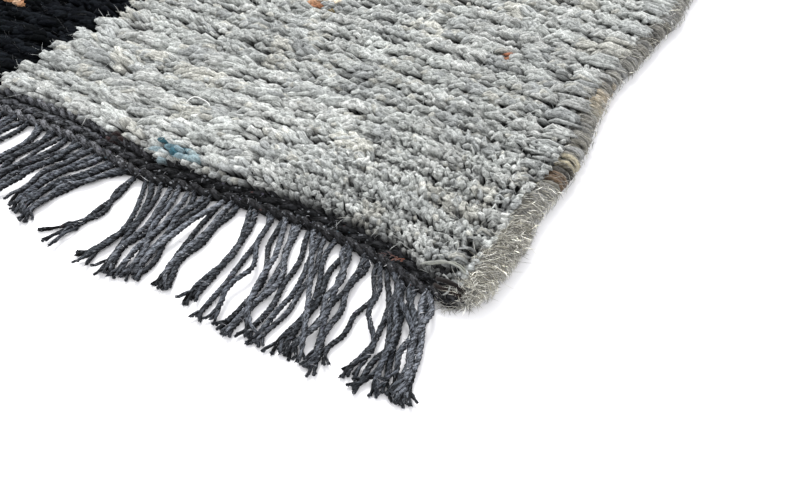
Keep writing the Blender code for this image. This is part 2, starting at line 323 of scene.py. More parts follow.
def wool_material(name, streak_width=0.8, streak_length=7.0, contrast=0.55, root_shade=1.0, sheen=0.15,
                  relief=1.0, specular=0.12, felt_share=1.0, plies=0, turn=12, span=0.19):
    """Matt spun fibre whose streaks, plies and relief follow the yarn. Lengths are in mm."""
    made, shader = matt_material(name, 0.95, specular)
    wool = add_node(made, "Attribute", attribute_name="wool_colour")
    x, y, along, fibre_space = yarn_space(made, 2.0 / streak_width, streak_length * MM, 37.0)
    streaks = add_node(made, "TexNoise", [
        ("Vector", fibre_space), ("Scale", 1.0), ("Detail", 3.0), ("Roughness", 0.7)])
    here = add_node(made, "TexCoord")
    felt = add_node(made, "TexNoise", [
        ("Vector", here.outputs["Object"]), ("Scale", 1 / FELT), ("Detail", 4.0), ("Roughness", 0.8)])
    height = computed(made, "MULTIPLY_ADD", felt.outputs["Fac"], felt_share, streaks.outputs["Fac"])
    if plies:
        round_it = computed(made, "MULTIPLY", computed(made, "ARCTAN2", y, x), plies)
        twist = computed(made, "MULTIPLY_ADD", along, 2 * math.pi * plies / (turn * MM), round_it)
        height = computed(made, "MULTIPLY_ADD", computed(made, "SINE", twist), 0.07, height)
    middle = 0.5 * (1 + felt_share)
    shade = add_node(made, "MapRange", enumerate((  # value, then from and to
        height, middle - span, middle + span, 1 - contrast, 1 + contrast)))
    # painted shade: each yarn is drawn darker towards its root, down to root_shade times its colour, as the
    # shade deep between the tufts
    depth = add_node(made, "MapRange", enumerate((along, 4 * MM, 15 * MM, root_shade, 1.0)))
    lit = computed(made, "MULTIPLY", shade.outputs[0], depth.outputs[0])
    tinted = add_node(made, "VectorMath", [(0, wool.outputs["Color"]), ("Scale", lit)], operation="SCALE")
    bump = add_node(made, "Bump", [("Height", height), ("Strength", 1.0), ("Distance", relief * MM)])
    feed(shader, [("Sheen Weight", sheen), ("Sheen Roughness", 0.45),
                  ("Base Color", tinted.outputs["Vector"]), ("Normal", bump.outputs["Normal"])])
    return made


pile_wool = wool_material("hand_spun_pile_wool", root_shade=0.12, relief=1.2)
black_wool = wool_material("near_black_pile_wool", contrast=0.5, root_shade=0.3, sheen=0.0, relief=0.8,
                           specular=0.03)
edge_wool = wool_material("hairy_edge_wool")
hair_wool = wool_material("loose_wool_hair", 1.0, 8.0, contrast=0.1, sheen=0.2, relief=0.05)
print(len(bpy.data.materials), "materials so far")

# %% [markdown]
# ## Ground cloth
# Under the pile is the woven ground: cotton warps, wool wefts and the backs of the knots. It shows
# only between tufts and from below, so it is one closed sheet, ridged once a row below, with its
# knots drawn as relief.

# %% Ground cloth material
KNOT_ACROSS, KNOT_ALONG = 7.1 * MM, 5.9 * MM


def colour_ramp(material, factor, stops, interpolation="LINEAR"):
    """Colours along a factor. stops are pairs of a place from 0 to 1 and a hex colour."""
    node = add_node(material, "ValToRGB", [("Fac", factor)])
    node.color_ramp.interpolation = interpolation
    elements = node.color_ramp.elements
    for number, (place, hex_colour) in enumerate(stops):
        stop = elements[number] if number < 2 else elements.new(place)
        stop.position, stop.color = place, (*linear(hex_colour), 1)
    return node.outputs["Color"]


ground, ground_shader = matt_material("knotted_wool_ground", 0.95, 0.15)
ground_place = add_node(ground, "TexCoord")
stretch = add_node(ground, "Mapping", [
    ("Vector", ground_place.outputs["Object"]),
    ("Scale", (1 / KNOT_ACROSS, 1 / KNOT_ALONG, 1 / (12 * MM)))])
knots = add_node(ground, "TexVoronoi", [
    ("Vector", stretch.outputs["Vector"]), ("Scale", 1.0), ("Randomness", 0.45)])
# partly painted shade: the ground is drawn dark grey to stand for the shadow between the rows of pile, and
# darker where knots meet
knot_shade = colour_ramp(ground, knots.outputs["Distance"], ((0.15, "#4b4d4d"), (0.75, "#191a1c")))
knot_fall = computed(ground, "SUBTRACT", 1.0, knots.outputs["Distance"])
knot_bump = add_node(ground, "Bump", [("Height", knot_fall), ("Strength", 0.9), ("Distance", 1.2 * MM)])
feed(ground_shader, [("Base Color", knot_shade), ("Normal", knot_bump.outputs["Normal"])])
print(f"knots of the ground {KNOT_ACROSS / MM:.1f} x {KNOT_ALONG / MM:.1f} mm apart")

# %% Ground cloth mesh
GROUND_TOP = 7.5 * MM
grid_x, grid_y = np.meshgrid(np.linspace(-HALF_X, HALF_X, KNOT_COLUMNS + 1),
                             np.linspace(-HALF_Y, HALF_Y, 4 * KNOT_ROWS + 1))
plan_x, plan_y = lay(grid_x, grid_y)
ridge = np.cos(2 * math.pi * (grid_y + HALF_Y) / ROW_PITCH)
top = xyz(plan_x, plan_y, GROUND_TOP - 1.0 * MM * ridge).reshape(-1, 3)
foot = xyz(plan_x, plan_y, 0.6 * MM + 0.6 * MM * ridge).reshape(-1, 3)
index = np.arange(grid_x.size).reshape(grid_x.shape)
cells = np.stack([index[:-1, :-1], index[:-1, 1:], index[1:, 1:], index[1:, :-1]], axis=2).reshape(-1, 4)
rim = np.concatenate([index[0, :-1], index[:-1, -1], index[-1, :0:-1], index[:0:-1, 0]])
after = np.roll(rim, -1)
wall = np.stack([rim + index.size, after + index.size, after, rim], axis=1)
ground_mesh = bpy.data.meshes.new("ground_cloth")
ground_mesh.from_pydata(np.concatenate([top, foot]), [],
                        np.concatenate([cells, cells[:, ::-1] + index.size, wall]).tolist())
ground_mesh.materials.append(ground)
ground_cloth = add_object("ground_cloth", ground_mesh)
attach(ground_cloth, "root")
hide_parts("pile_field")
print("ground cloth", len(ground_mesh.polygons), "faces")

# %% [markdown]
# ## Pile
# A row of knots leaves its cut ends in tufts 15 to 27 mm wide. The ends of a tuft were beaten
# down together, so they share a lean, a height and a lot of wool. The pile lies over to its left
# and to the front, so each row shows as a ridge, and it stands up only at one worn corner.

# %% Tufts


def uneven(size, layer, spread):
    """A measure that differs from tuft to tuft. Size and spread are in mm."""
    lumps = np.array([size * MM * lump(x, y, layer) for x, y in tuft_at])
    return lumps + rng.normal(0, spread, tufts) * MM


rng = np.random.default_rng(38)
tuft_rows, tuft_at = [], []
for row in range(KNOT_ROWS):
    edges = -HALF_X - rng.uniform(0, 15) * MM + np.cumsum(rng.uniform(15 * MM, 27 * MM, 50))
    edges = edges[: np.searchsorted(edges, HALF_X)]
    tuft_rows.append((len(tuft_at), edges))
    bounds = [-HALF_X, *edges, HALF_X]
    tuft_at += [((a + b) / 2, ROW_Y[row] + 0.45 * ROW_PITCH) for a, b in zip(bounds, bounds[1:])]
tuft_at = np.array(tuft_at)
tufts = len(tuft_at)
tuft_height = uneven(3.2, 3.0, 0.9)
tuft_drift = uneven(6.0, 7.0, 1.6)
tuft_drift *= np.interp(tuft_at[:, 0], (0.05, 0.2), (1.0, 0.6))  # rows keep apart better to the right
tuft_lean = rng.uniform(0.7, 1.25, tufts)
tuft_turn = rng.normal(0, math.radians(11), tufts)
tuft_close = rng.uniform(0.0, 0.35, tufts)
tuft_shade = np.clip(rng.normal(1.0, 0.09, tufts), 0.75, 1.25)
print(tufts, "tufts")

# %% [markdown]
# Now the ends, four lines to a row of knots. The first droops over the gap in front of it, the
# middle lines make the crest and the last falls away. Each is a tube that rises, bends over and
# comes to a blunt tip. At the worn corner they are teased apart, so more of them show.

# %% Cut ends of the pile
ENDS_ACROSS = 132
LINES = ((0.16, 0.02, 15.2), (0.38, 0.04, 19.4), (0.60, 0.05, 20.0), (0.82, 0.03, 17.0))  # root, spread, top
WORN_CORNER = (0.28, -0.45)
FINE_ROWS = 27  # the rows behind them have fewer and thicker ends


def ramp(value, start, reach):
    """From 0 at start to 1 a reach further on."""
    return np.clip((value - start) / reach, 0, 1)


ends = []
for row, (first, edges) in enumerate(tuft_rows):
    for line, (root, _, tip) in enumerate(LINES):
        x = np.linspace(-HALF_X + 2.2 * MM, HALF_X - 2.2 * MM, ENDS_ACROSS) + line % 2 * 2.1 * MM
        x += rng.uniform(-1.3, 1.3, ENDS_ACROSS) * MM
        x = np.clip(x, -HALF_X + 2 * MM, HALF_X - 2 * MM)
        y = ROW_Y[row] + ROW_PITCH * root + rng.uniform(-1.2, 1.2, ENDS_ACROSS) * MM
        tuft = first + np.searchsorted(edges, x + rng.uniform(-1.5, 1.5, ENDS_ACROSS) * MM)
        ends.append(np.broadcast_arrays(x, y, tip * MM, row, line, tuft))
ends = np.concatenate(ends, axis=1)
near_corner = np.hypot(ends[0] - WORN_CORNER[0], ends[1] - WORN_CORNER[1]) < 0.17
more = ends[:, near_corner]
extra = more.shape[1]
end_finer = np.where(near_corner, 0.9, np.where(ends[3] < FINE_ROWS, 1.0, 1.3))
end_finer = np.append(end_finer, np.full(extra, 0.72))
more[0] += rng.normal(2.1, 0.8, extra) * MM
more[1] += rng.normal(2.6, 0.9, extra) * MM
more[2] -= rng.uniform(-0.8, 1.8, extra) * MM
ends = np.concatenate([ends, more], axis=1)
(end_x, end_y, end_tip), (end_row, end_line, end_tuft) = ends[:3], ends[3:].astype(int)
end_x = np.minimum(end_x, HALF_X - 1.5 * MM)
front_row = end_row == 0
count = len(end_x)
set_back = 5 * ramp(end_x, 0.055, -0.03)  # where a third cord takes room
set_back -= 3.5 * ramp(end_x, 0.055, 0.03) + 5 * ramp(end_x, 0.24, 0.025)
end_y += set_back * MM * front_row * (1 - (end_y - ROW_Y[0]) / ROW_PITCH)
print(count, "cut ends,", extra, "of them between others at the worn corner")

# %% Lean and height of each end
LEAN = np.array((-0.87, -0.49)) * 16 * MM  # how far a tip lies from its root
UPRIGHT_LEAN = np.array((-0.45, -0.6)) * 5.0 * MM
worn = smooth(ramp(np.hypot(end_x - WORN_CORNER[0], end_y - WORN_CORNER[1]), 0.07, 0.16))  # 0 at that corner
lean = UPRIGHT_LEAN * (1 - worn)[:, None] + LEAN * worn[:, None]
lean[front_row] *= (0.75, 0.35)
turn = tuft_turn[end_tuft] + rng.normal(0, 1, count) * np.radians(34 - 24 * worn)
cos, sin = np.cos(turn), np.sin(turn)
lean = np.stack([lean[:, 0] * cos - lean[:, 1] * sin, lean[:, 0] * sin + lean[:, 1] * cos], axis=1)
lean *= (tuft_lean[end_tuft] * rng.uniform(0.85, 1.15, count))[:, None]
over_roll = np.clip(1.4 - (HALF_X - end_x) / (6 * MM), 0, 1)[:, None]
lean = lean * (1 - over_roll) + np.array((8.5, -3.5)) * MM * over_roll
spread = np.array(LINES)[end_line, 1] * ROW_PITCH + tuft_drift[end_tuft]
spread[front_row] *= 0.4
middle = tuft_at[end_tuft]
close = tuft_close[end_tuft] * (0.1 + 0.9 * worn) * ~front_row
rim = ramp(np.minimum(HALF_X - np.abs(end_x), HALF_Y - np.abs(end_y)), 0, ROW_PITCH)
top_z = end_tip + tuft_height[end_tuft] * (0.4 + 0.2 * end_line) - 1.2 * MM * (1 - rim)
top_z += rng.normal(0, 0.7, count) * MM
print("highest tip", round(top_z.max() / MM, 1), "mm")

# %% Shape of each end
LYING = np.array(  # share of the lean, share of the height, radius in mm, from root to tip
    [(0, 0, 0), (0.12, 0.58, 1.7), (0.42, 0.92, 2.7), (0.74, 1, 2.7), (0.98, 0.985, 1.4), (1.12, 0.93, 0)]
)
STANDING = np.array(
    [(0, 0, 0), (0.2, 0.42, 1.7), (0.5, 0.76, 2.1), (0.8, 0.94, 2.5), (1, 1, 1.7), (1.15, 0.98, 0)]
)
ROOT_Z = 3.5 * MM
profile = LYING * worn[:, None, None] + STANDING * (1 - worn)[:, None, None]
root_x, root_y = lay(end_x, end_y)
pulled_x = (middle[:, 0] - end_x) * close
pulled_y = (middle[:, 1] - end_y) * close + spread
paths = np.zeros((count, 6, 3))
paths[:, :, 0] = root_x[:, None] + (lean[:, 0] + pulled_x)[:, None] * profile[:, :, 0]
paths[:, :, 1] = root_y[:, None] + (lean[:, 1] + pulled_y)[:, None] * profile[:, :, 0]
paths[:, :, 2] = ROOT_Z + (top_z - ROOT_Z)[:, None] * profile[:, :, 1]
paths[:, 2:] += rng.normal(0, 1, (count, 4, 3)) * ((0.95 - 0.45 * worn) * MM)[:, None, None]
radii = profile[:, 1:-1, 2] * MM * rng.uniform(0.78, 1.22, count)[:, None] * rng.normal(1, 0.08, (count, 4))
radii *= end_finer[:, None]
flat = unit(xyz(-lean[:, 1], lean[:, 0], 0))
print("yarn", round(2 * radii.mean() / MM, 1), "mm thick on average")

# %% [markdown]
# Nothing holds up the last knots of a row, so a few locks of each hang over the right roll. They
# cover most of it at the back and are worn short in front.

# %% Locks that lie over the right roll
LOCK = np.array(  # out from the edge of the pile, height, radius in mm
    [(10.5, 11.5, 0), (5.5, 16.6, 1.9), (0, 19.2, 2.3), (-6, 20.4, 2.4), (-11, 19.4, 1.5), (-13.5, 17.5, 0)]
)
LOCKS_PER_ROW = 8
lock_row = np.repeat(np.arange(KNOT_ROWS), LOCKS_PER_ROW)
locks = len(lock_row)
lock_y = ROW_Y[lock_row] + ROW_PITCH * rng.uniform(0.42, 1.08, locks)
lock_worn = np.interp(lock_y, (-0.36, -0.24), (0, 1))
lock_far = np.interp(lock_y, (-0.32, -0.22), (0, 1))[:, None]
lock_out = LOCK[:, 0] * rng.uniform(0.8, 1.2, (locks, 1)) * (0.5 + 0.5 * lock_worn[:, None]) * MM
lock_out *= np.where(LOCK[:, 0] > 0, 1 + 0.75 * lock_far, 1)
lock_out += rng.uniform(-4.5, 1.5, (locks, 1)) * MM
lock_y = np.maximum(lock_y[:, None] + 0.45 * (lock_out - lock_out[:, :1]), -HALF_Y + 3 * MM)
lock_z = LOCK[:, 1] * MM * rng.uniform(0.9, 1.03, (locks, 1))
lock_z[:, :2] -= np.array((5.5, 1.5)) * MM * lock_far
lock_path = xyz(*lay(HALF_X + lock_out, lock_y), lock_z)
lock_path[:, 1:] += rng.normal(0, 0.9, (locks, 5, 3)) * MM
lock_size = rng.uniform(0.75, 1.15, (locks, 1)) * rng.normal(1, 0.15, (locks, 4))
lock_size *= 0.42 + 0.58 * lock_worn[:, None]
last_tuft = np.array([first + len(edges) for first, edges in tuft_rows])
joined = zip(
    (paths, radii, flat, end_x, end_y, end_row, end_tuft, worn),
    (lock_path, LOCK[1:-1, 2] * MM * lock_size, np.tile((0.45, -0.89, 0.0), (locks, 1)),
     np.full(locks, HALF_X - 2 * MM), lock_y[:, 2], lock_row, last_tuft[lock_row], lock_worn))
paths, radii, flat, end_x, end_y, end_row, end_tuft, worn = (np.concatenate(pair) for pair in joined)
count += locks
print(locks, "locks lie over the right roll")

# %% [markdown]
# The field is grey wool in lots that differ a little, with one near-black block down the left
# side. Odd lengths of other yarn were knotted in here and there, as weavers do.

# %% Wool colours of the pile
GREY_LOTS = dyes("#bcbebb #b4b7b4 #abaeac #a0a3a2 #b8b8b1")
BLACK_LOTS = dyes("#101216 #0b0d0f #181b1f")
BLOCK_EDGE = -0.140
lot = rng.choice(len(GREY_LOTS), tufts, p=(0.28, 0.32, 0.2, 0.1, 0.1))
stray_lot = rng.choice(len(GREY_LOTS), count)
wool = GREY_LOTS[np.where(rng.random(count) < 0.28, stray_lot, lot[end_tuft])] * tuft_shade[end_tuft][:, None]
wool *= rng.normal(1.0, 0.08, count)[:, None]
# partly painted light: the pile is drawn lighter at the worn corner and in the front rows, to make up for the
# painted shade among the low ends there, a little lighter towards the back, and lighter then darker across
# the right half
wool *= (np.interp(end_x, (0.04, 0.12, 0.2), (0.97, 1.06, 0.93)) * (1 + 0.14 * (1 - worn)))[:, None]
wool *= (1 + 0.03 * ramp(end_y, -0.28, 0.1) + 0.06 * ramp(end_y, -0.39, -0.04))[:, None]
row_edge = BLOCK_EDGE + 5 * MM * np.array([lump(row * 0.31, row * 0.047, 23.0) for row in range(KNOT_ROWS)])
in_block = end_x < row_edge[end_row]
wool[in_block] = BLACK_LOTS[rng.choice(3, count)][in_block]
ODD_YARNS = (  # centre x, y, reach across and along, droop towards the front in mm, colours
    (-234, -320, 16, 7, 0, "#b98a66 #cfab8c #7a3628 #9a6a4a"),
    (13, -174, 17, 8, 0, "#fff6e0 #f8ecd4 #fffaf0"),
    (7, -183, 6, 4.5, 0, "#c79c7c #a9785a"),
    (25, -183, 6, 4.5, 0, "#8c7a56 #786a48"),
    (211, -182, 5.5, 5.5, 0, "#b98468 #a06a50"),
    (36, -431, 7, 4, 0, "#27464f #31545e"),
    (46, -439, 10, 7, 3, "#335a67 #788d95 #5a7680 #8b9da3 #a9b1b2"),
    (60, -440, 9, 6, 3, "#7f979e #98a7a9 #8b9ea3"),
    (-4, -441, 8, 7, 8, "#3a1418 #22100f #2c2d31"),
)
is_odd = np.zeros(count, bool)
for at_x, at_y, reach_x, reach_y, droop, hexes in ODD_YARNS:
    away = np.hypot((end_x - at_x * MM) / (reach_x * MM), (end_y - at_y * MM) / (reach_y * MM))
    odd = away < rng.uniform(0.6, 1.0, count)
    wool[odd] = dyes(hexes)[rng.integers(0, len(dyes(hexes)), count)][odd]
    paths[odd, 1:, 1] -= droop * MM
    paths[odd, 1:, 2] *= 1 - 0.035 * droop
    is_odd |= odd
is_black = in_block & ~is_odd
end_lot = rng.random(count)
print(int(in_block.sum()), "ends are near-black and", int(is_odd.sum()), "are odd yarns")

# %% Pile pieces


def painted_shade_and_light(part, wool, low, high, least, most):
    """Colours for every vertex with painted shade and light: darker low down, where no light comes in, and
    lighter higher up, where it falls.
    """
    points, _, _, place = part
    share = ramp(points[:, 2].reshape(place.shape[:2]), low, high - low)
    return wool[:, None] * (least + (most - least) * share)[:, :, None]


SPLITS = (  # first row, row after the last, stations kept, sides
    (0, 6, (0, 1, 2, 3, 4, 5), 5), (6, 16, (0, 1, 3, 4, 5), 5), (16, FINE_ROWS, (0, 1, 3, 4, 5), 5),
    (FINE_ROWS, KNOT_ROWS, (0, 1, 3, 5), 4))
for first_row, row_after, kept, sides in SPLITS:
    rows = (end_row >= first_row) & (end_row < row_after)
    rows &= (end_row < FINE_ROWS) | (rng.random(count) < 0.65)
    ring = np.array(kept[1:-1]) - 1
    for shade_name, coloured, material in (("grey", ~is_black, pile_wool), ("black", is_black, black_wool)):
        chosen = rows & coloured
        part = skin(paths[chosen][:, kept], radii[chosen][:, ring], flat[chosen][:, None], sides, 0.26 * MM)
        # painted shade: the ends are drawn darker low down, between rows and tufts, where shade falls, and a
        # little lighter at their tips
        shaded = painted_shade_and_light(part, wool[chosen], 9 * MM, 16.5 * MM, 0.14, 1.07)
        parts = [(part, shaded, end_lot[chosen])]
        name = f"pile_rows_{first_row:02}_{row_after - 1:02}_{shade_name}"
        as_piece(name, parts, material)

# %% [markdown]
# ## Side rolls
# The outer warps are bundled and wrapped in coarse, hairy wool, which guards the edge. A dark core
# fills the roll, and one long yarn winds round it, a turn every 3.6 mm, in bundles of three.

# %% Side rolls
ROLL_PITCH = 3.6 * MM
WRAP_RADIUS, CORE_RADIUS = 2.0 * MM, 4.4 * MM
TURNS_TO_A_BUNDLE = 3


def roll_path(side, y, angle, inset):
    """A point of a roll's oval section at laid y, pulled in and rounded at both ends."""
    end = ramp(HALF_Y + ROLL_END - np.abs(y), 0, 16 * MM)
    size = 0.45 + 0.55 * np.sqrt(end * (2 - end))
    half = (ROLL_WIDTH / 2 - inset) * size
    out = HALF_X + GAP + ROLL_WIDTH / 2 * (0.55 + 0.45 * size) + half * np.cos(angle)
    x, plan = lay(side * out, y)
    z = ROLL_HEIGHT / 2 * size + (ROLL_HEIGHT / 2 - inset) * size * np.sin(angle)
    return xyz(x, plan, z)


EDGE_LOTS = dyes("#a09e97 #aaa9a3 #9c9c99 #918f86 #a9aaa8")
ROLL_ACCENTS = (  # y, reach in mm, share, colour
    (-196, 12, 0.55, "#c8b89c"), (-214, 8, 0.4, "#c9bda4"), (-300, 7, 0.45, "#c9bd9a"),
    (-309, 6, 0.8, "#1d1814"), (-319, 4, 0.7, "#5a3f22"), (-82, 8, 0.8, "#2b2a28"),
)
for side, name in ((1, "roll_right"), (-1, "roll_left")):
    run = HALF_Y + ROLL_END - 2.2 * MM
    turns = 2 * run / ROLL_PITCH
    steps = int(turns * 11)
    angle = np.linspace(0, turns * 2 * math.pi, steps)
    y = np.linspace(-run, run, steps) + 0.9 * MM * np.sin(angle * 0.37) + 0.6 * MM * np.sin(angle * 0.83)
    swell = np.array([noise.noise(Vector((a * 0.13, side * 9.0, 2.0))) for a in angle])
    far = np.interp(y, (-0.34, -0.26), (0, 1))
    bundle = angle / (2 * math.pi) / TURNS_TO_A_BUNDLE
    valley = np.interp(np.abs(bundle % 1 - 0.5), (0.3, 0.5), (0, 1)) * (0.3 + 0.7 * far)
    inset = WRAP_RADIUS + (1.2 + far) * MM * (1 - swell) + (2.4 * valley - 0.8 * far) * MM
    wound = roll_path(side, y, angle, inset)
    wound += rng.normal(0, 0.3, wound.shape) * MM
    wound[:, 2] = np.maximum(wound[:, 2], WRAP_RADIUS)
    part = skin(wound[None], WRAP_RADIUS * (1 + 0.15 * swell[1:-1]), (0.0, 1.0, 0.0), 6, 0.25 * MM)
    core = roll_path(side, np.linspace(-run, run, 160), 0.0, ROLL_WIDTH / 2)
    core_skin = skin(core[None], CORE_RADIUS, UP, 8)
    turn_lot = rng.integers(0, len(EDGE_LOTS), int(turns) + 2)
    at_y, at_angle = y[1:-1], angle[1:-1]
    shades = EDGE_LOTS[turn_lot[bundle[1:-1].astype(int)]] * rng.normal(1, 0.09, (len(at_y), 1))
    # painted shade: the wrapping is drawn darker along the back, where the pile hangs over and shades it, and
    # darkest at the front end, so that the gaps under its hair look shaded
    shades *= np.interp(at_y, (-0.4, -0.34, -0.28, -0.2), (0.5, 0.7, 0.78, 0.6))[:, None]
    # painted shade: darker in the valleys where one bundle of three turns meets the next, most of all along
    # the back
    shades *= (1 - 0.7 * valley[1:-1])[:, None]
    for at, reach_y, most, hex_colour in ROLL_ACCENTS if side > 0 else ():
        share = 1.4 - np.abs(at_y - at * MM) / (reach_y * MM) + rng.normal(0, 0.3, len(shades))
        share = np.clip(share + 0.7 * np.sin(at_angle * 0.5 + at), 0, most)[:, None]
        shades = shades * (1 - share) + dyes(hex_colour) * share
    shades = np.concatenate([np.repeat(shades, 6, axis=0), shades[:1], shades[-1:]])
    parts = [(part, shades[None], 0.3), (core_skin, dyes("#5b5950"), 0.1)]
    as_piece(name, parts, edge_wool)
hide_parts("selvedge_right")
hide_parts("selvedge_left")

# %% [markdown]
# ## Charcoal yarn
# Warps and twined cords are plied charcoal yarn, re-spun from rags, so it carries pale and
# coloured flecks 1 to 2 mm long. Its plies are modelled, and its material draws the rest.

# %% Charcoal yarn material
FLECK_PITCH = 2.6 * MM
FLECK_COLOURS = (  # from which share of the flecks on, colour
    (0, "#727579"), (0.7, "#94979b"), (0.93, "#553d3b"), (0.95, "#4f6068"), (0.97, "#625f70"))
charcoal = wool_material("respun_charcoal_yarn", streak_length=2.2, contrast=0.9, sheen=0.02, relief=0.7,
                         felt_share=0.6, plies=2, turn=20, span=0.12)
shader = charcoal.node_tree.nodes["Principled BSDF"]
plain = shader.inputs["Base Color"].links[0].from_socket
cells = add_node(charcoal, "TexVoronoi", [
    ("Vector", yarn_space(charcoal, 1.1, FLECK_PITCH, 91.0)[3]), ("Scale", 1.0), ("Randomness", 1.0)])
pick = add_node(charcoal, "SeparateColor", [(0, cells.outputs["Color"])])
near_middle = computed(charcoal, "LESS_THAN", cells.outputs["Distance"], 0.34)
rare = computed(charcoal, "LESS_THAN", pick.outputs[0], 0.24)
is_fleck = computed(charcoal, "MULTIPLY", near_middle, rare)
fleck = colour_ramp(charcoal, pick.outputs[1], FLECK_COLOURS, "CONSTANT")
mixed = add_node(charcoal, "Mix", [
    (0, computed(charcoal, "MULTIPLY", is_fleck, 0.6)), (6, plain), (7, fleck)], data_type="RGBA")
feed(shader, [("Base Color", mixed.outputs[2])])
CHARCOAL_LOTS = dyes("#44474c #3a3d42 #4d5055 #34373b")
print(f"one fleck in four places {FLECK_PITCH / MM:.1f} mm apart")

# %% [markdown]
# ## Twined cords
# Two yarns cross between every pair of warps and lock the last row of knots. Seen from above
# that is a two-strand rope, one stitch every 14 mm. The two cords of an end turn opposite ways.
# In front a third shows, high on the left and low on the right, where the pile is worn back.

# %% Twined cords
CORD_YARN = 2.5 * MM  # radius of one yarn
CORD_TWIST = 2.1 * MM  # from its middle to the cord's
CORDS = (  # name, end, distance out from the pile, turn, from x, to x, lift, all in mm
    ("inner_front", -1, 4.4, 28, -276.7, 276.7, 0.1),
    ("outer_front", -1, 13.0, -28, -276.7, 286, 0.1),
    ("third_front", -1, -3.0, -24, -276.7, 58, 4.6),
    ("low_front", -1, -1.6, -24, 60, 274, 2.0),
    ("inner_back", 1, 4.4, 28, -276.7, 276.7, 0.1),
    ("outer_back", 1, 13.0, -28, -276.7, 276.7, 0.1),
)
cords, lint_seats = {}, []
for name, end, out, turn, x_from, x_to, lift in CORDS:
    x = np.linspace(x_from * MM, x_to * MM, int((x_to - x_from) / 1.9))
    wander = np.array([noise.noise(Vector((v * 21, out * 0.9 + end, 0.5))) for v in x])
    yarns = []
    for half in (0, math.pi):
        phase = 2 * math.pi * x / (turn * MM) + 1.6 * wander + half
        plan = lay(x, end * (HALF_Y + GAP + out * MM + CORD_TWIST * np.cos(phase)))
        z = CORD_HEIGHT / 2 + lift * MM + CORD_TWIST * np.sin(phase) + 0.6 * MM * wander
        yarns.append(xyz(*plan, z))
    yarns = np.array(yarns)
    radius = CORD_YARN * rng.normal(1, 0.05, (2, yarns.shape[1] - 2))
    lint_seats.append(yarns[yarns[:, :, 2] > (lift + 6) * MM] + (0, 0, CORD_YARN))
    part = skin(yarns, radius, UP, 8, 0.18 * MM)
    pair = CHARCOAL_LOTS[rng.permutation(4)[:2]]
    # painted shade and highlight: each cord yarn is drawn almost black low down, where shade falls between
    # the yarns, and up to 1.75 times lighter on top
    shade = painted_shade_and_light(part, pair, (lift + 3) * MM, (lift + 9.5) * MM, 0.03, 1.75)
    shade *= np.array((1.06, 0.99, 0.93))  # browner than the warp
    # painted light: the cords are drawn lighter on the left, where they catch the light, and much darker in
    # the middle and on the right
    across_rug = part[0][:, 0].reshape(2, -1, 1)
    shade *= np.interp(across_rug, (-0.06, 0.03, 0.15, 0.25), (1.25, 0.25, 0.22, 0.38))
    cords[name] = as_piece(f"cord_{name}", [(part, shade, rng.random(2))], charcoal)
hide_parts("twining_front")
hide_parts("twining_back")

# %% [markdown]
# ## Fringe
# Each warp end is three plies twisted together, once every 11 mm, and it opens where it was cut.
# The ends lie on the floor in bunches, as they fell when the rug was turned over and combed. Two
# leave each stitch of the cords, a few cross the others, and one pair lies alone.

# %% Where each strand lies
BUNCHES = (  # strands, shift of the tips along +X, spacing of the tips, length (mm), right to left
    (4, 24, 7.4, 79), (3, 20, 6.8, 90), (1, 16, 7, 89), (2, 17, 6.4, 97), (3, 17, 6, 98), (3, 18, 6, 102),
    (3, 20, 6, 104), (2, 20, 6.2, 100), (2, 16, 6.2, 94), (3, 14, 6, 90), (7, 16, 6, 90), (2, 16, 6.4, 86),
    (1, 5, 7, 81), (7, -16, 6.1, 75), (3, -13, 6.2, 80), (6, -9, 5.9, 86), (4, -7, 6, 88), (5, -7, 5.9, 90),
    (3, -5, 6.2, 88), (5, -6, 5.9, 92), (4, -7, 6, 90), (5, -7, 5.9, 88),
)
FRONT_BOWS = (1, 9, 5, -1, 2, 5, 7, 2, 5, -4, -1, 14, 9, -12, -8, 2, 4, 2, 3, 2, 3, 2)  # halfway, in mm
STRAYS = (  # ends that cross the others in front: number of the root, shift of the tip, bow, lift (mm)
    (4, 30, 2, 4), (6, 46, 14, 6), (9, 2, 5, 2), (11, 30, 3, 3), (15, 58, 2, 6), (18, 44, -3, 4),
    (25, -6, -2, 3), (30, 26, 4, 2), (1, 14, 5, 5), (7, 30, 6, 4),
)
PAIRED = 2.4  # how far every other strand leans onto its neighbour (mm)
ROOT_PAIR = 1.5  # how far the two strands of a stitch are drawn together at their roots (mm)
GATHERED = 0.72  # tips lie that much closer than in the solids
LONE_STRAND, LONE_SHIFT = 35, -7
STRAND_ROOT = HALF_Y + 2 * GAP + 1.6 * CORD_WIDTH
CORNER_PULL, CORNER_REACH = 7, 30  # the end of the right roll draws in the last strands (mm)


def bunched_strands(bows):
    """Strands in bunches: root x, lift, shift of the tip, length, bow, swing, gathering (mm)."""
    made = []
    for (members, shift, spacing, length), bow in zip(BUNCHES, bows):
        first, spacing = len(made), spacing * GATHERED
        place = np.argsort(np.arange(members) + rng.normal(0, 0.7, members))  # some neighbours cross
        for member in range(members):
            root = (HALF_X - STRAND_PITCH * (first + member + 0.5)) / MM
            tip = shift + (members - 1) / 2 * (spacing - STRAND_PITCH / MM)
            tip += member * STRAND_PITCH / MM - place[member] * spacing
            tip, lift = tip + member % 2 * PAIRED, member % 2 * 1.6 + 2 * (place[member] < member)
            alone = members % 2 == 1 and member == members - 1
            pair = 0 if alone else ROOT_PAIR * (member % 2 * 2 - 1)
            root, tip = root + pair, tip - pair
            aside = bow + member % 2 * PAIRED + rng.normal(0, 1.5)
            made.append([root, lift, tip, length + rng.uniform(-3, 3), aside, rng.normal(0, 2), tip - shift])
    return made


